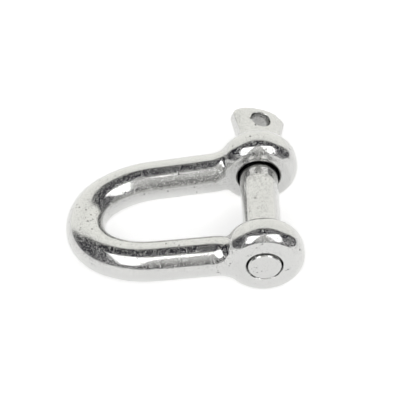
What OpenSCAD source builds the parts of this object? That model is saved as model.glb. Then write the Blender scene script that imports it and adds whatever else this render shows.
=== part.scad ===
// Dee shackle with a screw pin, lying flat as it is stored.
// Units: mm. +Y runs along the pin towards its eye lug, -X towards the crown of
// the bow, +Z up. The origin is on the pin axis, midway between the two ears.

/* [Bow] */
// Diameter of the round bar
stock_d = 12.5; // [11:0.1:14]
// Clear width between the two ears
jaw_width = 28; // [26:0.1:30]
// Thickness of one ear
ear_thickness = 10.4; // [9:0.1:11]
// Outside diameter of an ear
ear_d = 25; // [23:0.1:28]
// Radius of an ear's rounded rim
ear_rim_r = 4.4; // [4.1:0.1:5]
// Width of the straight band round the middle of that rim
ear_rim_band = 2.4; // [2:0.1:4]
// Half distance between the leg centre lines where the crown begins
leg_half_gap = 17.5; // [16:0.1:19]
// Inward lean of each leg, in degrees
leg_lean = 1.7; // [0:0.1:4]
// Distance from the pin axis to the start of the crown
leg_length = 33.8; // [28:0.1:45]
// Centre-line radius of the crown's shoulders
shoulder_r = 26.7; // [20:0.1:40]
// Angle swept by each shoulder, in degrees
shoulder_sweep = 31.4; // [20:0.1:45]

/* [Holes in the ears] */
// Diameter of the plain hole in the far ear
plain_hole_d = 13.5; // [12.5:0.1:14.5]
// Minor diameter of the tapped hole in the near ear
tapped_hole_d = 10.4; // [10.1:0.05:10.7]
// Width of the small chamfer at each hole's mouth
mouth_chamfer = 0.4; // [0.1:0.1:1]
// Diameter of the shallow recess at the mouth of the tapped hole
recess_d = 11.2; // [10.8:0.1:12]
// Depth of that recess
recess_depth = 0.9; // [0.2:0.1:1.5]

/* [Screw pin] */
// Diameter of the plain shank
shank_d = 12; // [11.5:0.1:13]
// Pitch of the thread
thread_pitch = 1.75; // [1.5:0.05:2]
// Outside diameter of the cut thread
thread_d = 11.76; // [11.4:0.02:11.9]
// Core diameter of the cut thread
thread_core_d = 9.7; // [9.3:0.05:9.9]
// Distance from the near ear to the shoulder above the thread
shoulder_gap = 2; // [0.5:0.1:4]
// How far the tip stands out of the near ear
tip_proud = 0.6; // [0.3:0.1:2]
// Diameter of the plain tip beyond the thread
tip_d = 10.1; // [9:0.1:10.2]
// Gap between the collar and the far ear with the pin home
collar_gap = 0.05; // [0.02:0.01:0.3]
// Diameter of the collar
collar_d = 17; // [15:0.1:20]
// Thickness of the collar
collar_t = 3.2; // [2.4:0.1:5]

/* [Eye lug] */
// Width of the lug
lug_width = 17.6; // [15:0.1:20]
// Thickness of the lug
lug_t = 6.2; // [4:0.1:8]
// Length of the lug beyond the collar
lug_length = 15.6; // [14.6:0.1:20]
// Height of the arch across the end of the lug
lug_arch = 2.2; // [0:0.1:3.4]
// Radius of the lug's two corners
lug_corner_r = 1.5; // [0.5:0.1:2.4]
// Width of the lug where it leaves the collar
lug_root = 13.8; // [10:0.1:15]
// Sideways offset of the lug from the pin axis, left by the forging dies
lug_offset = 0.9; // [-1:0.1:1]
// Distance from the collar to the centre of the eye
eye_out = 10.05; // [8:0.05:11]
// Diameter of the eye
eye_d = 6.1; // [4:0.1:7]
// Turn of the lug about the pin with the pin home, in degrees
lug_turn = 18; // [-90:1:90]

/* [Hidden] */

stock_r = stock_d / 2;
ear_r = ear_d / 2;
rim_a = asin((ear_thickness - ear_rim_band) / 2 / ear_rim_r);
face_r = ear_r - ear_rim_r * (1 - cos(rim_a));
half_jaw = jaw_width / 2;
ear_mid = half_jaw + ear_thickness / 2;
ear_out = half_jaw + ear_thickness;
collar_at = ear_out + collar_gap;
collar_end = collar_at + collar_t;
shank_end = half_jaw - shoulder_gap;
tip_end = ear_out + tip_proud;
lug_end = collar_end + lug_length;
eye_at = collar_end + eye_out;

// Crown: two shoulders and one tip arc, each tangent to the next.
shoulder_cx = -leg_length + shoulder_r * sin(leg_lean);
shoulder_cy = leg_half_gap - shoulder_r * cos(leg_lean);
crown_a = leg_lean + shoulder_sweep;
tip_r = shoulder_r + shoulder_cy / cos(crown_a);
tip_cx = shoulder_cx - (shoulder_r - tip_r) * sin(crown_a);

// The bow rests on its two ear rims and on the underside of the crown.
lie_angle = asin((ear_r - stock_r) / (tip_r - tip_cx));

joint_step = 0.02;   // one part of the bar is this much thinner where two meet
joint_lap = 0.3;     // and laps into its neighbour by this much
neck_from = 14.2;    // the leg starts to thin out at this distance from the pin
neck_to = 6;
neck_end_r = 4.1;
overcut = 1;         // a cutter passes the surface it cuts by this much
shank_chamfer = 0.6; // at the shoulder above the thread
tip_chamfer = 0.5;
tip_plain = 1.4;     // length of the plain tip, chamfer included
ridge_half = [0.48, 0.0743] * thread_pitch;   // half widths at root and crest
groove_half = [0.4257, 0.0703] * thread_pitch; // the same for the tapped groove
ridge_root = 0.25;   // the ridge and the groove start this far under the surface
crest_room = 0.2;    // the groove is this much deeper than the crest
thread_fade = 0.25;  // turns over which the ridge rises at each end
groove_past = 1.05;  // the groove runs past the ear's faces by this much
thread_short = 1.1;  // the ridge stops this far before the shoulder
collar_front = 0.7;  // chamfers of the collar
collar_back = 1.2;
eye_mouth = 0.4;     // chamfer at the eye's two mouths
lug_straight = 6;    // the lug has its full width over this length at its end
lug_bury = 1;        // the lug starts this far inside the collar
round_n = 40;        // sides of the bar
turn_n = 96;         // sides of a full turn of the larger round shapes
bore_n = 72;

steel = [0.78, 0.78, 0.77];

// ---------- helpers ----------
module lying() { rotate([0, -lie_angle, 0]) children(); }
module along_y() { rotate([-90, 0, 0]) children(); }
module rod_y(r, y0, y1, n = bore_n) {
  translate([0, y0, 0]) along_y() cylinder(r = r, h = y1 - y0, $fn = n);
}
module cone_y(r0, r1, y0, y1, n = bore_n) {
  translate([0, y0, 0]) along_y() cylinder(r1 = r0, r2 = r1, h = y1 - y0, $fn = n);
}

// Ridge of a right-hand thread along +Z: a trapezoid swept along a helix.
// z0, z1: ends. ri, ro: inner and outer radius. hi, ho: half widths there.
// fade: turns over which each end rises from the core.
module helix_ridge(z0, z1, ri, ro, hi, ho, fade, n = 24) {
  turns = (z1 - z0) / thread_pitch;
  steps = floor(turns * n);
  rise = [for (k = [0:steps]) fade <= 0 ? 1
    : max(0, min(1, k / n / fade, (steps - k) / n / fade))];
  pts = [for (k = [0:steps]) let (
      a = 360 * k / n, z = z0 + thread_pitch * k / n,
      r = ri + 0.02 + (ro - ri - 0.02) * rise[k])
    each [
      [ri * cos(a), ri * sin(a), z - hi],
      [r * cos(a), r * sin(a), z - ho],
      [r * cos(a), r * sin(a), z + ho],
      [ri * cos(a), ri * sin(a), z + hi]]];
  sides = [for (k = [0:steps - 1], j = [0:3]) let (
      p = 4 * k + j, q = 4 * k + (j + 1) % 4)
    each [[p, q, q + 4], [p, q + 4, p + 4]]];
  last = 4 * steps;
  caps = [[0, 3, 2], [0, 2, 1], [last, last + 1, last + 2], [last, last + 2, last + 3]];
  polyhedron(points = pts, faces = concat(sides, caps), convexity = 12);
}

// ---------- bow ----------
module ear_blank(side) {
  rim = [for (s = [-1, 1], i = [0:6]) let (a = rim_a * (s < 0 ? 6 - i : i) / 6)
    [ear_r - ear_rim_r * (1 - cos(a)), s * (ear_rim_band / 2 + ear_rim_r * sin(a))]];
  translate([0, side * ear_mid, 0]) along_y()
    rotate_extrude($fn = turn_n)
      polygon(concat([[0, -ear_thickness / 2]], rim, [[0, ear_thickness / 2]]));
}

// A leg and its neck, leaning in towards the crown.
module leg(side) {
  translate([-leg_length, side * leg_half_gap, 0]) rotate([0, 90, side * leg_lean]) {
    cylinder(r = stock_r, h = leg_length - neck_from, $fn = round_n);
    translate([0, 0, leg_length - neck_from - joint_lap])
      cylinder(r1 = stock_r - joint_step, r2 = neck_end_r,
               h = neck_from - neck_to + joint_lap, $fn = round_n);
  }
}

module shoulder(side) {
  lap = joint_lap / shoulder_r * 180 / PI;
  sweep = shoulder_sweep + 2 * lap;
  from = side > 0 ? 90 + leg_lean - lap : 270 - leg_lean + lap - sweep;
  translate([shoulder_cx, side * shoulder_cy, 0]) rotate([0, 0, from])
    rotate_extrude(angle = sweep, $fn = turn_n)
      translate([shoulder_r, 0]) circle(r = stock_r - joint_step, $fn = round_n);
}

module crown_tip() {
  translate([tip_cx, 0, 0]) rotate([0, 0, 90 + crown_a])
    rotate_extrude(angle = 180 - 2 * crown_a, $fn = turn_n)
      translate([tip_r, 0]) circle(r = stock_r, $fn = round_n);
}

module bow_bar() {
  union() {
    for (s = [-1, 1]) { ear_blank(s); leg(s); shoulder(s); }
    crown_tip();
  }
}

module thread_groove() {
  along_y() helix_ridge(-ear_out - groove_past, -half_jaw + groove_past,
                        tapped_hole_d / 2 - ridge_root, thread_d / 2 + crest_room,
                        groove_half[0], groove_half[1], 0);
}

module bow() {
  color(steel) lying() difference() {
    bow_bar();
    rod_y(plain_hole_d / 2, half_jaw - overcut, ear_out + overcut);
    cone_y(plain_hole_d / 2 + mouth_chamfer + overcut, plain_hole_d / 2,
           half_jaw - overcut, half_jaw + mouth_chamfer);
    cone_y(plain_hole_d / 2, plain_hole_d / 2 + mouth_chamfer + overcut,
           ear_out - mouth_chamfer, ear_out + overcut);
    rod_y(tapped_hole_d / 2, -ear_out - overcut, -half_jaw + overcut);
    rod_y(recess_d / 2, -ear_out - overcut, -ear_out + recess_depth);
    cone_y(tapped_hole_d / 2, tapped_hole_d / 2 + mouth_chamfer + overcut,
           -half_jaw - mouth_chamfer, -half_jaw + overcut);
    thread_groove();
  }
}

// ---------- screw pin ----------
module pin_shank() {
  color(steel) {
    rod_y(shank_d / 2, -shank_end + shank_chamfer, collar_at);
    cone_y(shank_d / 2 - shank_chamfer, shank_d / 2, -shank_end, -shank_end + shank_chamfer);
  }
}

module pin_thread() {
  core = thread_core_d / 2;
  color(steel) lying() union() {
    rod_y(core, -tip_end + tip_plain / 2, -shank_end);
    rod_y(tip_d / 2, -tip_end + tip_chamfer, -tip_end + tip_plain);
    cone_y(tip_d / 2 - tip_chamfer, tip_d / 2, -tip_end, -tip_end + tip_chamfer);
    along_y() helix_ridge(-ear_out - groove_past + thread_pitch, -shank_end - thread_short,
                          core - ridge_root, thread_d / 2,
                          ridge_half[0], ridge_half[1], thread_fade);
  }
}

module lug_outline() {
  half = lug_width / 2;
  r = lug_corner_r;
  arch = [for (i = [-8:8]) let (q = i / 8) [(half - r) * q, lug_end - lug_arch * q * q]];
  corner = [for (i = [5:-1:0]) let (a = 14 * i)
    [half - r + r * cos(a), lug_end - lug_arch - r + r * sin(a)]];
  right = concat(corner, [[half, lug_end - lug_straight], [lug_root / 2, collar_end - lug_bury]]);
  left = [for (i = [len(right) - 1:-1:0]) [-right[i].x, right[i].y]];
  polygon(concat(arch, right, left));
}

module lug_plate() {
  eye_r = eye_d / 2;
  wide_r = eye_r + eye_mouth + overcut;
  flare = eye_mouth + overcut;
  rotate([0, lug_turn, 0]) translate([lug_offset, 0, -lug_t / 2])
    difference() {
      linear_extrude(lug_t) lug_outline();
      translate([0, eye_at, 0]) {
        translate([0, 0, -overcut]) cylinder(r = eye_r, h = lug_t + 2 * overcut, $fn = 48);
        translate([0, 0, -overcut]) cylinder(r1 = wide_r, r2 = eye_r, h = flare, $fn = 48);
        translate([0, 0, lug_t - eye_mouth])
          cylinder(r1 = eye_r, r2 = wide_r, h = flare, $fn = 48);
      }
    }
}

module collar() {
  r = collar_d / 2;
  translate([0, collar_at, 0]) along_y() rotate_extrude($fn = bore_n)
    polygon([[0, 0], [r - collar_front, 0], [r, collar_front],
             [r, collar_t - collar_back], [r - collar_back, collar_t], [0, collar_t]]);
}

module pin_head() {
  color(steel) {
    collar();
    lug_plate();
  }
}

bow();
pin_shank();
pin_head();
pin_thread();
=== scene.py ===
# %% [markdown]
# # A dee shackle
#
# This file is a lesson in making a small forged object in Blender. A dee shackle
# is two forgings: a bow, bent from round bar and pressed flat into an ear at each
# end, and a screw pin with an eye lug, which closes the gap between the ears.
# Each code cell does one thing and prints what it made.

# %% Load the frame that every piece is built round
import math

import bmesh
import bpy
from mathutils import Matrix, Vector


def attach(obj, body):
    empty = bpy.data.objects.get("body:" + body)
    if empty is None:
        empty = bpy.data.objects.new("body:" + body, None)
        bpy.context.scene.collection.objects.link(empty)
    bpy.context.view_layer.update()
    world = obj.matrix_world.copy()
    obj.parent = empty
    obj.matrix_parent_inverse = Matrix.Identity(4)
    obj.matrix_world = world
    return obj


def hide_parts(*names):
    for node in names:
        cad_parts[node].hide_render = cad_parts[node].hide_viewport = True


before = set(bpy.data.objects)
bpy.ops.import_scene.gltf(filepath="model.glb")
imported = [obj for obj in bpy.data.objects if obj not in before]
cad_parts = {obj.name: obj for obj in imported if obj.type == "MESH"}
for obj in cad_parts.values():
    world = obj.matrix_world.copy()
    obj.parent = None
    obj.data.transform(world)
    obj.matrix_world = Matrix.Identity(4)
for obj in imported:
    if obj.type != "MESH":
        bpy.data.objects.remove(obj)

bpy.context.view_layer.update()

# %% [markdown]
# ## Sizes
#
# Sizes are written in millimetres, because that is how a forge would write them,
# and multiplied by MM where a mesh needs metres. The pin lies along Y and the
# bow's crown points to -X. The shackle lies on its two ear rims and the underside
# of its crown, so the bow leans by a small angle about the pin.

# %% Sizes of the bow and of the pin
MM = 0.001
HAIR = 0.01                    # points closer than this count as one
STOCK_R = 6.25                 # round bar
EAR_R = 12.5                   # outside of an ear
EAR_HALF = 5.2                 # half its thickness
EAR_MID = 19.2                 # from the middle of the jaw to the middle of an ear
RIM_R, RIM_BAND = 4.4, 1.2     # its rounded rim, and half the straight band in it
PLAIN_HOLE_R = 6.75
TAPPED_HOLE_R = 5.2
PITCH = 1.75
LEAN = math.radians(1.7)       # of each leg
LEG_X, LEG_Y = 33.8, 17.5      # where a leg ends and the crown begins
SHOULDER_R, SHOULDER_SWEEP = 26.7, math.radians(31.4)

rim_angle = math.asin((EAR_HALF - RIM_BAND) / RIM_R)
face_r = EAR_R - RIM_R * (1 - math.cos(rim_angle))
ear_face = EAR_MID + EAR_HALF
jaw_face = EAR_MID - EAR_HALF
shoulder_centre = Vector((-LEG_X + SHOULDER_R * math.sin(LEAN),
                          LEG_Y - SHOULDER_R * math.cos(LEAN), 0))
crown_angle = LEAN + SHOULDER_SWEEP
tip_r = SHOULDER_R + shoulder_centre.y / math.cos(crown_angle)
tip_centre = Vector((shoulder_centre.x
                     - (SHOULDER_R - tip_r) * math.sin(crown_angle), 0, 0))
crown_x = tip_r - tip_centre.x
lie = math.asin((EAR_R - STOCK_R) / crown_x)
LYING = Matrix.Rotation(-lie, 4, "Y")
print(f"ear face radius {face_r:.2f} mm; crown {crown_x:.2f} mm from the pin,"
      f" lying at {math.degrees(lie):.2f} degrees")

# %% [markdown]
# ## Cages that land on size
#
# A Subdivision Surface pulls a cage inwards, so a ring of control points drawn at
# the true radius comes out too small. Two corrections put it right: a line of
# points is pushed out until its smoothed curve passes through the points we want,
# and a ring is enlarged by the amount that its number of sides loses.

# %% Helpers for cages


def land(points, closed=True, rounds=60):
    """Control points whose smoothed curve passes through the given points."""
    target = [Vector(p) for p in points]
    cage = [p.copy() for p in target]
    n = len(cage)
    for _ in range(rounds):
        moved = []
        for i, p in enumerate(cage):
            if not closed and i in (0, n - 1):
                moved.append(p.copy())
                continue
            curve = (cage[i - 1] + 4 * p + cage[(i + 1) % n]) / 6
            moved.append(p + target[i] - curve)
        cage = moved
    return cage


def ring_gain(sides):
    """How much larger a ring of control points is than the circle it makes."""
    return 3 / (2 + math.cos(2 * math.pi / sides))


print("a ring of 24 needs", round(ring_gain(24), 4), "of the radius")

# %% [markdown]
# Operators return what they made as one mixed list, so a helper picks one kind of
# element out of it. A profile is a row of joined points that a spin can turn into a
# lathe shape, and a loop of edges can be extruded again and again into a tube.

# %% Helpers for profiles and loops


def only(geometry, kind):
    """The elements of one kind in an operator's result."""
    return [g for g in geometry if isinstance(g, kind)]


def extrude_loop(bm, loop):
    """Extrude a loop of edges; returns its new points and its new edges."""
    out = bmesh.ops.extrude_edge_only(bm, edges=loop)["geom"]
    verts = only(out, bmesh.types.BMVert)
    edges = [e for e in only(out, bmesh.types.BMEdge) if all(v in verts for v in e.verts)]
    return verts, edges


def lathe(bm, points, steps, closed=True):
    """Spin a (radius, along) profile about the pin's axis."""
    verts = [bm.verts.new((-r, y, 0)) for r, y in points]
    edges = [bm.edges.new(pair) for pair in zip(verts, verts[1:])]
    if closed:
        edges.append(bm.edges.new((verts[-1], verts[0])))
    bmesh.ops.spin(bm, geom=verts + edges, cent=(0, 0, 0), axis=(0, 1, 0),
                   dvec=(0, 0, 0), angle=2 * math.pi, steps=steps,
                   use_merge=True, use_duplicate=False)


def close_ends(bm):
    """Fill every open loop of edges with one face."""
    ends = [e for e in bm.edges if e.is_boundary]
    return bmesh.ops.holes_fill(bm, edges=ends, sides=0)["faces"]


print("profile helpers ready")

# %% [markdown]
# A finished mesh is scaled to metres, its faces are turned outwards, and it becomes
# an object. Holes are cut after smoothing, so that their edges stay sharp: cutters
# go through a smoothed blank with a Boolean each, and the result is kept as a mesh.

# %% Helpers for pieces


def make_piece(name, bm, levels=0):
    """An object in metres from a bmesh in millimetres, smooth shaded."""
    bmesh.ops.transform(bm, matrix=Matrix.Scale(MM, 4), verts=bm.verts[:])
    bmesh.ops.recalc_face_normals(bm, faces=bm.faces[:])
    mesh = bpy.data.meshes.new(name)
    bm.to_mesh(mesh)
    bm.free()
    mesh.shade_smooth()
    piece = bpy.data.objects.new(name, mesh)
    bpy.context.scene.collection.objects.link(piece)
    if levels:
        smooth = piece.modifiers.new("Subdivision", "SUBSURF")
        smooth.levels = smooth.render_levels = levels
    return piece


def cut_and_keep(name, blank, cutters, sharp):
    """Cut a smoothed blank with other objects and keep the result as one mesh."""
    for cutter in cutters:
        cut = blank.modifiers.new("Cut " + cutter.name, "BOOLEAN")
        cut.operation = "DIFFERENCE"
        cut.solver = "MANIFOLD"
        cut.object = cutter
    bpy.context.view_layer.update()
    shaped = blank.evaluated_get(bpy.context.evaluated_depsgraph_get())
    mesh = bpy.data.meshes.new_from_object(shaped)
    mesh.name = name
    mesh.shade_smooth()
    mesh.set_sharp_from_angle(angle=math.radians(sharp))
    piece = bpy.data.objects.new(name, mesh)
    bpy.context.scene.collection.objects.link(piece)
    for helper in cutters + [blank]:
        bpy.data.objects.remove(helper)
    return piece


print("piece helpers ready")

# %% [markdown]
# ## The bow
#
# The real bow starts as a straight round bar. Its ends are upset and pressed into
# round ears, the ears are drilled, and the bar is bent. A cage can follow the same
# story: an ear is spun round the pin's axis, the part of its rim that faces the leg
# is opened, and a round leg is swept from the opening round to the crown. One
# bridge of faces makes the forged neck, and smoothing gives it a tight, fair blend.

# %% An ear's section
EAR_COLUMNS = 40
RIM_ROW_ANGLES = (58, 40, 24, 8)  # degrees round each side of the rim
RIM_CROWN = 0.08                  # the band in the rim is not quite straight
FACE_EDGE, FACE_FALL = 0.8, 0.07  # the flat face falls away a little in its last part
HOLE_MOUTH = 0.35                 # the rounded edge at each end of a hole
HOLD = 0.9                        # a second row this far from an edge keeps it crisp


def ear_profile(hole_r):
    """Points round an ear's section: outer face, rim, jaw face, hole wall."""
    h = EAR_HALF
    side = [(EAR_R - RIM_CROWN - RIM_R * (1 - math.cos(a)), RIM_BAND + RIM_R * math.sin(a))
            for a in map(math.radians, RIM_ROW_ANGLES)]
    lip = hole_r + HOLE_MOUTH
    outer = [(lip, h), (lip + HOLD, h), (face_r - FACE_EDGE, h), (face_r, h - FACE_FALL)]
    wall = [(hole_r, HOLE_MOUTH - h), (hole_r, HOLE_MOUTH + HOLD - h),
            (hole_r, h - HOLE_MOUTH - HOLD), (hole_r, h - HOLE_MOUTH)]
    jaw = [(r, -y) for r, y in reversed(outer)]
    rim = side + [(EAR_R, 0)] + [(r, -y) for r, y in reversed(side)]
    return outer + rim + jaw + wall


print("points in an ear's section:", len(ear_profile(PLAIN_HOLE_R)))

# %% [markdown]
# The leg needs an opening in the ear's rim. It is eight columns of faces wide and
# eight rows deep, with the corners left on, so its edge has thirty-two points.
# Sliding each point towards its neighbours, round the rim and across it, turns the
# steps into an oval. Its distance from the pin's axis is then read from the rim's
# own section, so the oval stays on the ear.

# %% Round off an opening
EASING_ROUNDS = 3


def radius_at(section, y):
    """The radius of a (y, radius) section at y, between two of its points."""
    start = sum(along < y for along, _ in section[1:-1])
    (y0, r0), (y1, r1) = section[start:start + 2]
    return r0 + (r1 - r0) * (y - y0) / (y1 - y0)


def rounded_edge(loop, section):
    """Ease the steps out of an opening's edge without leaving the ear's rim."""
    verts = {v for e in loop for v in e.verts}
    beside = {v: [e.other_vert(v) for e in v.link_edges if e in loop] for v in verts}
    spot = {v: Vector((math.atan2(v.co.z, -v.co.x), v.co.y)) for v in verts}
    for _ in range(EASING_ROUNDS):
        spot = {v: (2 * spot[v] + spot[beside[v][0]] + spot[beside[v][1]]) / 4 for v in verts}
    for v, (turn, y) in spot.items():
        r = radius_at(section, y)
        v.co = (-r * math.cos(turn), y, r * math.sin(turn))


print("radius at 1.5 on a sloping section:", radius_at([(0, 1), (1, 2), (2, 3)], 1.5))

# %% [markdown]
# The ear itself is its section spun once round the pin's axis. A rounded square,
# measured from the middle of the rim, picks the faces that give way to the leg.

# %% Spin an ear and open its rim
OPENING_DEEP, OPENING_HIGH = 5.0, 7.0   # half the opening, along the pin and across it
RIM_SLACK = 0.2                         # the rim's section starts this far inside it


def open_ear(bm, hole_r):
    """Make the ear on the +Y side and return the edge of its opening."""
    gain = ring_gain(EAR_COLUMNS)
    cage = land([(r, y, 0) for r, y in ear_profile(hole_r)])
    section = [(p.x * gain, p.y + EAR_MID) for p in cage]
    lathe(bm, section, EAR_COLUMNS)

    opening = []
    for face in bm.faces:
        c = face.calc_center_median()
        deep, high = abs(c.y - EAR_MID) / OPENING_DEEP, abs(c.z) / OPENING_HIGH
        if c.x < 0 and math.hypot(c.x, c.z) > face_r and deep ** 3 + high ** 3 < 1:
            opening.append(face)
    print("opening:", len(opening), "faces of the rim")
    bmesh.ops.delete(bm, geom=opening, context="FACES")

    edge = [e for e in bm.edges if e.is_boundary]
    rounded_edge(edge, sorted((y, r) for r, y in section if r > (face_r - RIM_SLACK) * gain))
    return edge


print("an ear has", EAR_COLUMNS, "columns of", len(ear_profile(PLAIN_HOLE_R)), "faces")

# %% [markdown]
# The leg starts as a circle where the bar is full and round. It is extruded along
# the straight, in steps that are shortest beside the ear, and then spun round two
# bends: the wide shoulder and half of the tighter tip of the crown.

# %% Sweep a leg round to the crown
LEG_SIDES = 32
NECK_X = 13.9                   # the leg is full and round from here on
LEG_STEPS = (0.03, 0.12, 0.27, 0.30, 0.28)      # shares of the straight
SHOULDER_STEPS, TIP_STEPS = 6, 10
neck_y = LEG_Y + (LEG_X - NECK_X) * math.tan(LEAN)


def sweep_leg(bm):
    """Make a leg and half of the crown on the +Y side; returns the leg's first loop."""
    place = (Matrix.Translation((-NECK_X, neck_y, 0)) @ Matrix.Rotation(LEAN, 4, "Z")
             @ Matrix.Rotation(-math.pi / 2, 4, "Y"))
    ring = bmesh.ops.create_circle(bm, cap_ends=False, segments=LEG_SIDES,
                                   radius=STOCK_R * ring_gain(LEG_SIDES), matrix=place)["verts"]
    first_loop = loop = list(dict.fromkeys(e for v in ring for e in v.link_edges))
    straight = Vector((-1, -math.tan(LEAN), 0)) * (LEG_X - NECK_X)
    for share in LEG_STEPS:
        verts, loop = extrude_loop(bm, loop)
        bmesh.ops.translate(bm, vec=straight * share, verts=verts)
    for centre, sweep, steps in ((shoulder_centre, SHOULDER_SWEEP, SHOULDER_STEPS),
                                 (tip_centre, math.pi / 2 - crown_angle, TIP_STEPS)):
        verts = list(dict.fromkeys(v for e in loop for v in e.verts))
        out = bmesh.ops.spin(bm, geom=loop + verts, cent=centre, axis=(0, 0, 1),
                             dvec=(0, 0, 0), angle=sweep, steps=steps,
                             use_merge=False, use_duplicate=False)
        loop = only(out["geom_last"], bmesh.types.BMEdge)
    return first_loop


print("the leg starts", round(neck_y, 2), "mm from the middle and has", LEG_SIDES, "sides")

# %% [markdown]
# One bridge of faces joins the opening's edge to the leg's first loop. Both have
# thirty-two points, so every face of the neck has four sides. A ring of points in
# the middle of the bridge is then drawn in, which hollows the neck.

# %% One half of the bow
NECK_HOLLOW = 0.4               # share of its rise that the neck's middle gives up


def half_bow(bm, hole_r):
    """An ear, its neck, a leg and half of the crown, in the plane of the bow."""
    opening_edge = open_ear(bm, hole_r)
    leg_end = sweep_leg(bm)
    bridge = bmesh.ops.bridge_loops(bm, edges=opening_edge + leg_end)["edges"]
    middle = bmesh.ops.subdivide_edges(bm, edges=bridge, cuts=1)["geom_inner"]
    for v in only(middle, bmesh.types.BMVert):
        spoke = Vector((0, v.co.y - neck_y, v.co.z))
        v.co += spoke.normalized() * (STOCK_R - spoke.length) * NECK_HOLLOW
    print("opening edge:", len(opening_edge), "points; leg end:", len(leg_end), "points")


# %% [markdown]
# The two halves differ only in the size of their hole. The near half is built in
# the same place, mirrored to the -Y side, and merged with the far half where the
# two meet at the crown.

# %% Join the two halves into one bow
bow_bm = bmesh.new()
half_bow(bow_bm, TAPPED_HOLE_R)
bmesh.ops.scale(bow_bm, vec=(1, -1, 1), verts=bow_bm.verts[:])
bmesh.ops.reverse_faces(bow_bm, faces=bow_bm.faces[:])
near_half = bpy.data.meshes.new("near half")
bow_bm.to_mesh(near_half)
bow_bm.clear()
half_bow(bow_bm, PLAIN_HOLE_R)
bow_bm.from_mesh(near_half)
bpy.data.meshes.remove(near_half)
bmesh.ops.remove_doubles(bow_bm, verts=bow_bm.verts[:], dist=HAIR)
bmesh.ops.transform(bow_bm, matrix=LYING, verts=bow_bm.verts[:])
print("bow cage:", len(bow_bm.faces), "faces,",
      sum(e.is_boundary for e in bow_bm.edges), "open edges")
bow_blank = make_piece("bow_blank", bow_bm, levels=2)

# %% [markdown]
# ## A screw thread
#
# A thread is one tooth drawn once and carried round a helix. Spin can move its
# copy along the axis at each step, so one tooth's outline spun through many turns
# makes the whole thread, and neighbouring turns meet edge to edge. Two cutting
# planes then trim it square, as a lathe would. The same helper makes the thread
# on the pin and the slightly larger cutter that taps the ear.

# %% A threaded rod
TURN_STEPS = 64
THREAD_START = -24.85           # a crest crosses +X here, and every pitch further on
WELD = 0.002                    # joins neighbouring turns and nothing else


def slice_across(bm, y, outward=1, trim=False):
    """Cut a mesh by a plane across the pin; trim drops what lies outward of it."""
    bmesh.ops.bisect_plane(bm, geom=bm.verts[:] + bm.edges[:] + bm.faces[:], dist=0.0001,
                           plane_co=(0, y, 0), plane_no=(0, outward, 0), clear_outer=trim)


def threaded_rod(core_r, crest_r, foot, crest, low, high):
    """A bmesh of a right-hand thread along Y from low to high, closed at its ends.

    foot and crest are half the tooth's width at its root and at its top."""
    bm = bmesh.new()
    y0 = THREAD_START - 3 * PITCH       # starts early, and is trimmed back to low
    turns = math.ceil((high - y0) / PITCH) + 1
    tooth = [(core_r, -PITCH / 2), (core_r, -foot), (crest_r, -crest),
             (crest_r, crest), (core_r, foot), (core_r, PITCH / 2)]
    verts = [bm.verts.new((r, y0 + y, 0)) for r, y in tooth]
    edges = [bm.edges.new(pair) for pair in zip(verts, verts[1:])]
    bmesh.ops.spin(bm, geom=verts + edges, cent=(0, 0, 0), axis=(0, 1, 0),
                   dvec=(0, PITCH / TURN_STEPS, 0), angle=2 * math.pi * turns,
                   steps=TURN_STEPS * turns, use_merge=False, use_duplicate=False)
    bmesh.ops.remove_doubles(bm, verts=bm.verts[:], dist=WELD)
    slice_across(bm, low, outward=-1, trim=True)
    slice_across(bm, high, outward=1, trim=True)
    caps = close_ends(bm)
    print("thread:", len(bm.faces), "faces,", len(caps), "ends")
    return bm


# %% [markdown]
# The near ear is tapped after it is smoothed. A recess at the mouth of the hole
# takes the first half turn of the thread away, and this narrow gap round the pin's
# end reads as a dark ring, deepened by shade painted on the walls of the hole.

# %% Tap the near ear
RECESS_R, RECESS_DEPTH, RECESS_EDGE = 5.6, 0.9, 0.12
PAST = 1.0                      # a cutter stands this far out of the face it cuts
CORE = 0.5                      # and its profile stops this far short of its axis
tap_bm = threaded_rod(core_r=5.0, crest_r=6.06, foot=0.80, crest=0.13,
                      low=-ear_face + 0.5, high=-jaw_face + 1.4)
bmesh.ops.transform(tap_bm, matrix=LYING, verts=tap_bm.verts[:])

recess_bm = bmesh.new()
lathe(recess_bm, [(CORE, -ear_face - PAST), (RECESS_R + PAST + RECESS_EDGE, -ear_face - PAST),
                  (RECESS_R, -ear_face + RECESS_EDGE), (RECESS_R, -ear_face + RECESS_DEPTH),
                  (CORE, -ear_face + RECESS_DEPTH)], 96, closed=False)
close_ends(recess_bm)
bow = cut_and_keep("bow_forging", bow_blank,
                   [make_piece("tap", tap_bm), make_piece("recess", recess_bm)], sharp=38)
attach(bow, "bow")
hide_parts("bow")
print("bow:", len(bow.data.polygons), "faces")

# %% [markdown]
# ## The screw pin
#
# The real pin is one forging: a round shank with a collar, and beyond the collar
# the bar is pressed flat into a lug and pierced. The cage is made the same way: one
# circle is extruded station by station, round along the shank and collar, and then
# squeezed step by step into the flat section of the lug. Every station is a
# rounded rectangle, and a circle is only the roundest of them.

# %% Stations along the pin
PIN_SIDES = 24
SHANK_R, SHANK_END = 6.0, -12.0
COLLAR_AT = ear_face + 0.05
LUG_TURN = math.radians(18)
LUG_END, LUG_ARCH, LUG_HALF = 43.25, 2.2, 8.8
LUG_OFFSET = 0.9                # the dies left the lug a little to one side
LUG_FROM, LUG_BLEND = 28.0, 3.0  # where that begins, and the length it takes
BEVEL_FROM, BEVEL_SLOPE = 3.8, 0.2

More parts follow.
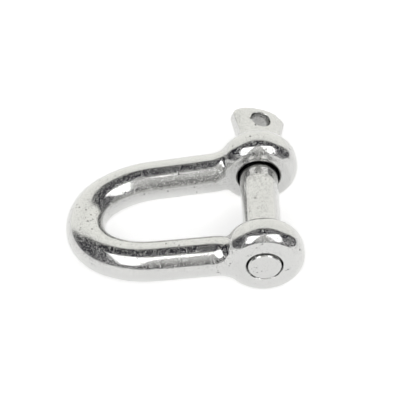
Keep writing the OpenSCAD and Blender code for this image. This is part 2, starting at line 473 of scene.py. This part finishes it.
# Round stations: distance along the pin, radius.
round_stations = [(SHANK_END, 3.0), (SHANK_END, 5.1), (SHANK_END + 0.25, 5.75),
                  (SHANK_END + 0.8, SHANK_R), (-10.0, SHANK_R), (-4.0, SHANK_R),
                  (4.0, SHANK_R), (12.0, SHANK_R), (20.0, SHANK_R), (23.2, SHANK_R), (24.0, 6.06),
                  (COLLAR_AT, 6.5), (COLLAR_AT + 0.02, 7.6),
                  (COLLAR_AT + 0.3, 8.25), (COLLAR_AT + 0.9, 8.5), (COLLAR_AT + 2.0, 8.5),
                  (COLLAR_AT + 2.8, 8.2), (COLLAR_AT + 3.2, 7.4)]

# Lug stations: distance along, half width, half thickness, squareness, share of arch.
lug_stations = [(28.2, 6.7, 5.6, 2.2, 0), (29.2, 6.75, 4.3, 2.6, 0), (30.6, 7.0, 3.4, 3.4, 0),
                (32.6, 7.35, 3.1, 4.2, 0), (35.1, 7.8, 3.1, 4.0, 0.15), (37.8, 8.3, 3.1, 4.0, 0.4),
                (40.4, 8.65, 3.1, 4.0, 0.8), (42.1, 8.8, 3.0, 4.0, 1), (42.95, 8.5, 2.65, 3.8, 1),
                (43.23, 7.6, 2.0, 3.4, 1), (LUG_END, 4.0, 0.9, 2.8, 1)]


def station(y, half_width, half_thick, square, arch):
    """One ring of target points, a rounded rectangle across the pin."""
    ring = []
    for i in range(PIN_SIDES):
        c, s = (f(2 * math.pi * i / PIN_SIDES) for f in (math.cos, math.sin))
        u = half_width * math.copysign(abs(c) ** (2 / square), c)
        n = half_thick * math.copysign(abs(s) ** (2 / square), s)
        if square > 3 and n > 0:        # one edge of the lug's upper face slopes down
            n -= BEVEL_SLOPE * max(0.0, u - BEVEL_FROM) * n / half_thick
        shift = LUG_OFFSET * min(1.0, max(0.0, (y - LUG_FROM) / LUG_BLEND))
        ring.append(Vector((u + shift, y - arch * LUG_ARCH * (u / LUG_HALF) ** 2, n)))
    return ring


rings = [station(y, r, r, 2, 0) for y, r in round_stations]
rings += [station(*row) for row in lug_stations]
print(len(rings), "stations of", PIN_SIDES, "points")

# %% [markdown]
# Each ring is corrected round itself, and each row of points is corrected along
# the pin, so the smoothed surface passes through every station.

# %% Extrude one circle through the stations
rings = [land(ring) for ring in rings]
rows = [land(row, closed=False) for row in zip(*rings)]
rings = list(zip(*rows))

pin_bm = bmesh.new()
circle = bmesh.ops.create_circle(pin_bm, cap_ends=False, segments=PIN_SIDES, radius=1)["verts"]
for vert, point in zip(circle, rings[0]):
    vert.co = point
loop = pin_bm.edges[:]
for ring in rings[1:]:
    place_of = dict(zip(circle, ring))
    grown, loop = extrude_loop(pin_bm, loop)
    after = {}
    for vert in grown:
        before = next(e.other_vert(vert) for e in vert.link_edges if e.other_vert(vert) in place_of)
        after[before] = vert
        vert.co = place_of[before]
    circle = [after[vert] for vert in circle]

# Both ends close on one middle point.
for side, middle in ((-1, (0, SHANK_END, 0)), (1, (LUG_OFFSET, LUG_END, 0))):
    end = [e for e in pin_bm.edges if e.is_boundary and e.verts[0].co.y * side > 0]
    verts, _ = extrude_loop(pin_bm, end)
    bmesh.ops.pointmerge(pin_bm, verts=verts, merge_co=middle)
print("pin cage:", len(pin_bm.faces), "faces,",
      sum(e.is_boundary for e in pin_bm.edges), "open edges")

# %% [markdown]
# The eye is pierced through the finished lug with a spool: a cylinder that flares
# at both ends, so the hole gets the soft mouth that a punch leaves.

# %% Pierce the eye
EYE_Y, EYE_R = 37.7, 3.05
spool_bm = bmesh.new()
flare = [(CORE, 4.3), (EYE_R + 1.5, 4.3), (EYE_R + 0.3, 3.1), (EYE_R + 0.08, 2.7), (EYE_R, 2.2)]
lathe(spool_bm, flare + [(r, -y) for r, y in reversed(flare)], 64, closed=False)
close_ends(spool_bm)
bmesh.ops.rotate(spool_bm, cent=(0, 0, 0), matrix=Matrix.Rotation(math.pi / 2, 3, "X"),
                 verts=spool_bm.verts[:])
bmesh.ops.translate(spool_bm, vec=(LUG_OFFSET, EYE_Y, 0), verts=spool_bm.verts[:])
for bm in (pin_bm, spool_bm):
    bmesh.ops.rotate(bm, cent=(0, 0, 0), matrix=Matrix.Rotation(LUG_TURN, 3, "Y"),
                     verts=bm.verts[:])
pin = cut_and_keep("screw_pin", make_piece("pin_blank", pin_bm, levels=3),
                   [make_piece("spool", spool_bm)], sharp=40)
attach(pin, "pin")
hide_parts("pin_head", "pin_shank")
print("pin:", len(pin.data.polygons), "faces")

# %% [markdown]
# The thread is trimmed at the shank's shoulder. Its other end is turned down to a
# plain tip with a small chamfer, which helps the pin to find its hole.

# %% The threaded end
TIP_END, TIP_R, TIP_CHAMFER = -25.0, 5.05, 0.3
TIP_PLAIN_TO = -23.9            # the thread rises from the plain tip from here on
RISE_FROM, RISE_SLOPE, RISE_LONG = 4.9, 0.75, 0.2
thread_bm = threaded_rod(core_r=4.85, crest_r=5.88, foot=0.72, crest=0.13,
                         low=TIP_END, high=SHANK_END + 0.4)
for y in (TIP_END + TIP_CHAMFER, TIP_PLAIN_TO, TIP_PLAIN_TO + RISE_LONG):
    slice_across(thread_bm, y)
for v in thread_bm.verts:
    r = math.hypot(v.co.x, v.co.z)
    if v.co.y < TIP_PLAIN_TO + HAIR:
        turned = min(TIP_R, TIP_R - TIP_CHAMFER + v.co.y - TIP_END)
    else:
        turned = min(r, RISE_FROM + RISE_SLOPE * (v.co.y - TIP_PLAIN_TO))
    v.co.x *= turned / r
    v.co.z *= turned / r
bmesh.ops.transform(thread_bm, matrix=LYING, verts=thread_bm.verts[:])
thread = make_piece("screw_pin_thread", thread_bm)
thread.data.set_sharp_from_angle(angle=math.radians(30))
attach(thread, "pin")
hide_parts("pin_thread")
print("threaded end:", len(thread.data.polygons), "faces")

# %% [markdown]
# ## Steel
#
# The shackle is cast or forged stainless steel, tumbled bright in a barrel of
# media. It mirrors the room, but the tumbling leaves a skin of tiny dimples, so
# a dark reflection sparkles and a bright one is flecked with grey. All of it is
# made from noise and cells on Object coordinates: a slow wave, fine dimples, and
# pits that are dark and sunk. Short helpers keep the node trees readable.

# %% Helpers for node trees


def wire(tree, value, socket):
    """Set a socket to a plain value, or link another node's output to it."""
    if isinstance(value, bpy.types.NodeSocket):
        tree.links.new(value, socket)
    else:
        socket.default_value = value


def math_node(tree, operation, *values):
    """Arithmetic on plain values or other nodes' outputs."""
    node = tree.nodes.new("ShaderNodeMath")
    node.operation = operation
    for value, socket in zip(values, node.inputs):
        wire(tree, value, socket)
    return node.outputs[0]


def vector_node(tree, operation, *values):
    """Vector arithmetic, for the operations that give one number or one vector."""
    node = tree.nodes.new("ShaderNodeVectorMath")
    node.operation = operation
    for value, socket in zip(values, node.inputs):
        wire(tree, value, socket)
    return node.outputs["Value" if operation in ("LENGTH", "DOT_PRODUCT") else "Vector"]


def ramp_node(tree, value, low, high, to_low=0.0, to_high=1.0):
    """Carry a value from one range to another with soft ends."""
    node = tree.nodes.new("ShaderNodeMapRange")
    node.interpolation_type = "SMOOTHSTEP"
    for number, name in ((value, "Value"), (low, "From Min"), (high, "From Max"),
                         (to_low, "To Min"), (to_high, "To Max")):
        wire(tree, number, node.inputs[name])
    return node.outputs["Result"]


print("value helpers ready")

# %% [markdown]
# Noise gives soft clouds and a Voronoi texture gives round cells. A bump can stand
# on the normal of another bump, so slow and fine relief add up.

# %% Helpers for patterns, bumps and blends


def noise_node(tree, place, scale, detail):
    """Soft cloudy noise from 0 to 1."""
    node = tree.nodes.new("ShaderNodeTexNoise")
    node.inputs["Scale"].default_value = scale
    node.inputs["Detail"].default_value = detail
    wire(tree, place, node.inputs["Vector"])
    return node.outputs["Fac"]


def cells_node(tree, place, scale):
    """Round cells: outputs Distance from a cell's middle and a random Color for it."""
    node = tree.nodes.new("ShaderNodeTexVoronoi")
    node.inputs["Scale"].default_value = scale
    wire(tree, place, node.inputs["Vector"])
    return node.outputs


def bump_node(tree, height, distance, strength, normal=None):
    """Tilt the shading by a height in metres, on top of another bump's normal."""
    node = tree.nodes.new("ShaderNodeBump")
    node.inputs["Strength"].default_value = strength
    node.inputs["Distance"].default_value = distance
    wire(tree, height, node.inputs["Height"])
    if normal is not None:
        wire(tree, normal, node.inputs["Normal"])
    return node.outputs["Normal"]


def blend_node(tree, first, second, factor):
    """Mix two colours; a factor of 1 gives the second."""
    node = tree.nodes.new("ShaderNodeMix")
    node.data_type = "RGBA"
    wire(tree, factor, node.inputs["Factor"])
    for value, kind in ((first, "A"), (second, "B")):
        wire(tree, value, next(i for i in node.inputs if i.name == kind and i.type == "RGBA"))
    return next(o for o in node.outputs if o.type == "RGBA")


print("pattern helpers ready")

# %% [markdown]
# Pits are the marks that an eye finds first: small dark spots in loose patches. A
# pattern of round cells gives the spots, and a slower noise picks the patches. On
# the pin the spots are stretched along its length, the way its bar was drawn.

# %% Pits
PIT_SCALE, PATCH_SCALE = 780, 330       # cells and patches in a metre


def pit_mask(tree, place, stretch):
    """1 in a pit and 0 beside it."""
    drawn = tree.nodes.new("ShaderNodeMapping")
    drawn.inputs["Scale"].default_value = stretch
    wire(tree, place, drawn.inputs["Vector"])
    cells = cells_node(tree, drawn.outputs["Vector"], PIT_SCALE)
    spot = ramp_node(tree, cells["Distance"], 0.12, 0.30, 1.0, 0.0)
    patch = ramp_node(tree, noise_node(tree, place, PATCH_SCALE, 2), 0.56, 0.64)
    return math_node(tree, "MULTIPLY", spot, patch)


print("a pit cell is", round(1000 / PIT_SCALE, 2), "mm across")

# %% [markdown]
# The wall of a hole is painted near black and made rougher: painted shade for the
# deep, narrow recess, where little light reaches. Its mask is the distance from the
# hole's own axis, so each material is told the line of its hole.

# %% Painted shade in the bores


def bore_shade_mask(tree, place, centre, axis, radius, half_length):
    """Painted shade: 1 on the wall of a round hole and 0 outside it; sizes are in millimetres."""
    axis = Vector(axis).normalized()
    away = vector_node(tree, "SUBTRACT", place, Vector(centre) * MM)
    across = vector_node(tree, "LENGTH", vector_node(tree, "CROSS_PRODUCT", away, axis))
    ahead = math_node(tree, "ABSOLUTE", vector_node(tree, "DOT_PRODUCT", away, axis))
    inside = ramp_node(tree, across, (radius - 0.02) * MM, (radius + 0.06) * MM, 1.0, 0.0)
    within = ramp_node(tree, ahead, (half_length - 0.25) * MM, half_length * MM, 1.0, 0.0)
    return math_node(tree, "MULTIPLY", inside, within)


print("bore mask ready")

# %% [markdown]
# The dimples are too small to see one by one. Each is a shallow bowl of its own
# depth, a quarter of a millimetre across, and only its slope matters: it bends a
# reflection enough to throw light into a dark band, and dark into a light one.

# %% Dimples
DIMPLE_SCALE = 3900                     # cells in a metre


def dimple_height(tree, place):
    """A field of bowls: 0 between them and down to -1 in the deepest."""
    cells = cells_node(tree, place, DIMPLE_SCALE)
    parts = tree.nodes.new("ShaderNodeSeparateColor")
    wire(tree, cells["Color"], parts.inputs[0])
    depth = ramp_node(tree, parts.outputs[0], 0.1, 0.9)
    bowl = ramp_node(tree, cells["Distance"], 0.0, 0.55)
    return math_node(tree, "MULTIPLY", math_node(tree, "SUBTRACT", bowl, 1.0), depth)


print("a dimple is", round(1000 / DIMPLE_SCALE, 2), "mm across")

# %% [markdown]
# One function puts the finish together, and both pieces use it. The roughness
# drifts a little from place to place, and the bumps are stacked from the slowest to
# the sharpest: the wave that forging leaves, then the dimples, then the pits.

# %% The steel
STEEL_TONE = (0.62, 0.62, 0.61, 1)
PIT_TONE = (0.17, 0.165, 0.16, 1)
# painted shade: the near-black tone laid on the walls of holes
BORE_SHADE_TONE = (0.03, 0.03, 0.032, 1)
SMOOTHEST, ROUGHEST, BORE_ROUGH = 0.08, 0.14, 0.5
WEAR_SCALE, WAVE_SCALE = 140, 150       # clouds in a metre
WAVE_HEIGHT, DIMPLE_DEPTH, PIT_DEPTH = 0.0002, 0.00006, 0.00006     # metres


def steel(name, pit_stretch, bores):
    """Tumbled steel with painted shade in its holes. A bore is its centre, axis, radius, half
    length and shade strength.
    """
    material = bpy.data.materials.new(name)
    material.use_nodes = True
    tree = material.node_tree
    shader = tree.nodes["Principled BSDF"]
    shader.inputs["Metallic"].default_value = 1.0
    place = tree.nodes.new("ShaderNodeTexCoord").outputs["Object"]

    pit = pit_mask(tree, place, pit_stretch)
    # Painted shade: each hole's wall is blended towards near black.
    bore_shade = 0.0
    for *hole, shade_strength in bores:
        wall = math_node(tree, "MULTIPLY", bore_shade_mask(tree, place, *hole), shade_strength)
        bore_shade = math_node(tree, "MAXIMUM", bore_shade, wall)
    tone = blend_node(tree, STEEL_TONE, PIT_TONE, pit)
    wire(tree, blend_node(tree, tone, BORE_SHADE_TONE, bore_shade), shader.inputs["Base Color"])

    worn = ramp_node(tree, noise_node(tree, place, WEAR_SCALE, 3), 0.3, 0.7, SMOOTHEST, ROUGHEST)
    rough = math_node(tree, "MAXIMUM", worn, math_node(tree, "MULTIPLY", bore_shade, BORE_ROUGH))
    wire(tree, rough, shader.inputs["Roughness"])

    wave = bump_node(tree, noise_node(tree, place, WAVE_SCALE, 1), WAVE_HEIGHT, 0.2)
    grain = bump_node(tree, dimple_height(tree, place), DIMPLE_DEPTH, 1.0, wave)
    sunk = bump_node(tree, math_node(tree, "MULTIPLY", pit, -1.0), PIT_DEPTH, 0.8, grain)
    wire(tree, sunk, shader.inputs["Normal"])
    return material


print("steel tone", STEEL_TONE[:3])

# %% [markdown]
# Both of the bow's holes are painted with shade inside. The pin's eye gets only about
# a third of that painted shade, because it is short.

# %% Give each piece its steel
lug_axis = Matrix.Rotation(LUG_TURN, 3, "Y") @ Vector((0, 0, 1))
lug_middle = Matrix.Rotation(LUG_TURN, 3, "Y") @ Vector((LUG_OFFSET, EYE_Y, 0))
PIN_STRETCH = (1, 0.45, 1)
# The last number of each hole is how much shade is painted on its wall.
bow_steel = steel("tumbled_bow_steel", (1, 1, 1), [
    ((0, EAR_MID, 0), (0, 1, 0), PLAIN_HOLE_R, EAR_HALF, 1.0),
    ((0, -EAR_MID, 0), (0, 1, 0), RECESS_R, EAR_HALF, 1.0)])
pin_steel = steel("tumbled_pin_steel", PIN_STRETCH, [(lug_middle, lug_axis, EYE_R, 3.0, 0.35)])
for piece, finish in ((bow, bow_steel), (pin, pin_steel), (thread, pin_steel)):
    piece.data.materials.clear()
    piece.data.materials.append(finish)
    print(piece.name, "is", finish.name)

# %% [markdown]
# ## Floor, light and camera
#
# Polished steel looks like whatever stands round it, so the lights are shaped
# first and only then made bright enough. Two long panels hang overhead on the
# camera's side, splayed a little, with a grey gap between them. A pale backdrop
# stands behind, and the rest of the room is dark. The table is a sheet of white
# acrylic lit from below, the usual trick for a clean ground with faint shadows.

# %% Floor
TABLE_TONE, TABLE_ROUGH, TABLE_GLOW = (0.86, 0.86, 0.86, 1), 0.6, 0.50
TABLE_HALF, TABLE_GAP = 2500, 0.02
floor_bm = bmesh.new()
bmesh.ops.create_grid(floor_bm, x_segments=1, y_segments=1, size=TABLE_HALF)
bmesh.ops.translate(floor_bm, vec=(0, 0, -EAR_R - TABLE_GAP), verts=floor_bm.verts[:])
floor = make_piece("floor", floor_bm)
table = bpy.data.materials.new("white_table")
table.use_nodes = True
surface = table.node_tree.nodes["Principled BSDF"]
surface.inputs["Base Color"].default_value = TABLE_TONE
surface.inputs["Roughness"].default_value = TABLE_ROUGH
surface.inputs["Emission Color"].default_value = (1, 1, 1, 1)
surface.inputs["Emission Strength"].default_value = TABLE_GLOW
floor.data.materials.append(table)
print("floor at", round(floor.data.vertices[0].co.z, 5))

# %% [markdown]
# Two area lights make the panels. Their near ends are a little in front of the
# shackle, and they run towards the camera. Each is placed by the middle of its
# near end, in shares of its height, so the whole set can be raised as one.

# %% Two overhead panels
PANEL_UP = 1.2                  # metres above the shackle
PANEL_SPLAY = math.radians(27)
PANEL_LONG, PANEL_WIDE = 2.35, 0.74
PANEL_POWER = 20
LEFT_NEAR_END, RIGHT_NEAR_END = (0.50, -0.30), (0.44, -0.20)

for side, (out, near) in ((-1, LEFT_NEAR_END), (1, RIGHT_NEAR_END)):
    light = bpy.data.lights.new("panel", "AREA")
    light.shape = "RECTANGLE"
    light.size, light.size_y = PANEL_WIDE * PANEL_UP, PANEL_LONG * PANEL_UP
    light.energy = PANEL_POWER
    panel = bpy.data.objects.new("right panel" if side > 0 else "left panel", light)
    bpy.context.scene.collection.objects.link(panel)
    panel_x = side * (out + PANEL_LONG / 2 * math.sin(PANEL_SPLAY))
    panel_y = near - PANEL_LONG / 2 * math.cos(PANEL_SPLAY)
    panel.location = Vector((panel_x, panel_y, 1.0)) * PANEL_UP
    panel.rotation_euler = (0, 0, side * PANEL_SPLAY)
    print(panel.name, "at", tuple(round(c, 2) for c in panel.location))

# %% [markdown]
# The rest of the room is painted on the world, by direction. A backdrop stands
# behind the shackle, up to a little under sixty degrees and not far round to the
# sides. Everything is measured as a slope, the ratio of two parts of a direction.

# %% The room's backdrop
PALE_TONE = (1.22, 1.22, 1.17, 1)
DIM_TONE = (0.030, 0.028, 0.036, 1)
BACKDROP_TOP = (math.tan(math.radians(53)), math.tan(math.radians(59)))
BACKDROP_SIDE = (1.4, 2.2)
SLIGHT = 0.001                  # keeps a division away from nothing

world = bpy.data.worlds.new("studio")
bpy.context.scene.world = world
world.use_nodes = True
room = world.node_tree
room.nodes.clear()
split = room.nodes.new("ShaderNodeSeparateXYZ")
wire(room, room.nodes.new("ShaderNodeTexCoord").outputs["Generated"], split.inputs[0])
east, north, up = split.outputs
abs_east = math_node(room, "ABSOLUTE", east)

behind = math_node(room, "MAXIMUM", north, SLIGHT)
rise = math_node(room, "DIVIDE", up, behind)
aside = math_node(room, "DIVIDE", abs_east, behind)
backdrop = math_node(room, "MULTIPLY", ramp_node(room, rise, *BACKDROP_TOP, 1.0, 0.0),
                     ramp_node(room, aside, *BACKDROP_SIDE, 1.0, 0.0))
print("backdrop up to", round(BACKDROP_TOP[1], 2), "of its distance")

# %% [markdown]
# Between the panels is a grey gap. It starts a little forward of straight up, and
# weakens further forward. Low in front, a faint glow stands for light that comes
# back off the table. The brightest of the three wins, and the rest stays dim.

# %% The gap between the panels, and the glow low in front
GAP_SHARE, GAP_FAR_SHARE, LOW_SHARE = 0.46, 0.25, 0.07
GAP_START, GAP_SIDE, GAP_FADE = (0.1, 0.5), (0.5, 1.0), (0.8, 2.4)     # slopes
LOW_FRONT, LOW_TOP = (0.35, 0.7), (0.25, 0.42)          # parts of the direction

front = math_node(room, "MAXIMUM", math_node(room, "MULTIPLY", north, -1.0), SLIGHT)
height = math_node(room, "MAXIMUM", up, SLIGHT)
sideways = math_node(room, "DIVIDE", abs_east, height)
forward = math_node(room, "DIVIDE", front, height)
between = math_node(room, "MULTIPLY", ramp_node(room, sideways, *GAP_SIDE, 1.0, 0.0),
                    ramp_node(room, forward, *GAP_START))
gap = math_node(room, "MULTIPLY", between,
                ramp_node(room, forward, *GAP_FADE, GAP_SHARE, GAP_FAR_SHARE))
low = math_node(room, "MULTIPLY", ramp_node(room, front, *LOW_FRONT, 0.0, LOW_SHARE),
                ramp_node(room, up, *LOW_TOP, 1.0, 0.0))
share = math_node(room, "MAXIMUM", math_node(room, "MAXIMUM", gap, low), backdrop)
glow = blend_node(room, DIM_TONE, PALE_TONE, share)
print("room painted with", len(room.nodes), "nodes")

# %% [markdown]
# The camera itself sees only a plain pale wall where the floor ends. A Light Path
# node gives those rays their own background, and every reflection keeps the room.

# %% What the camera sees past the floor
WALL_TONE = (0.95, 0.95, 0.95, 1)
lit = room.nodes.new("ShaderNodeBackground")
wire(room, glow, lit.inputs["Color"])
pale = room.nodes.new("ShaderNodeBackground")
pale.inputs["Color"].default_value = WALL_TONE
choose = room.nodes.new("ShaderNodeMixShader")
wire(room, room.nodes.new("ShaderNodeLightPath").outputs["Is Camera Ray"], choose.inputs[0])
wire(room, lit.outputs[0], choose.inputs[1])
wire(room, pale.outputs[0], choose.inputs[2])
wire(room, choose.outputs[0], room.nodes.new("ShaderNodeOutputWorld").inputs[0])
bpy.context.scene.view_settings.view_transform = "Standard"
print("studio ready")

# %% [markdown]
# The camera stands about 0.7 m away with a long lens, so the shackle is seen from
# 45 degrees up with very little perspective. It is turned to its heading, dipped,
# and rolled by a fraction of a degree.

# %% Camera
CAMERA_PLACE = Vector((-27.86, -477.97, 483.36)) * MM
HEADING, DIP, ROLL = (math.radians(a) for a in (-1.455, 45.31, 0.58))
camera_data = bpy.data.cameras.new("camera")
camera_data.sensor_width = 36
camera_data.lens = 188.57
camera_data.clip_start, camera_data.clip_end = 0.01, 20
camera = bpy.data.objects.new("camera", camera_data)
bpy.context.scene.collection.objects.link(camera)
camera.location = CAMERA_PLACE
turn = (Matrix.Rotation(HEADING, 4, "Z") @ Matrix.Rotation(math.pi / 2 - DIP, 4, "X")
        @ Matrix.Rotation(-ROLL, 4, "Z"))
camera.rotation_euler = turn.to_euler()
bpy.context.scene.camera = camera
print("camera", tuple(round(c, 4) for c in camera.location))

# %% [markdown]
# The last cell brings the scene up to date.

# %% Finish
bpy.context.view_layer.update()
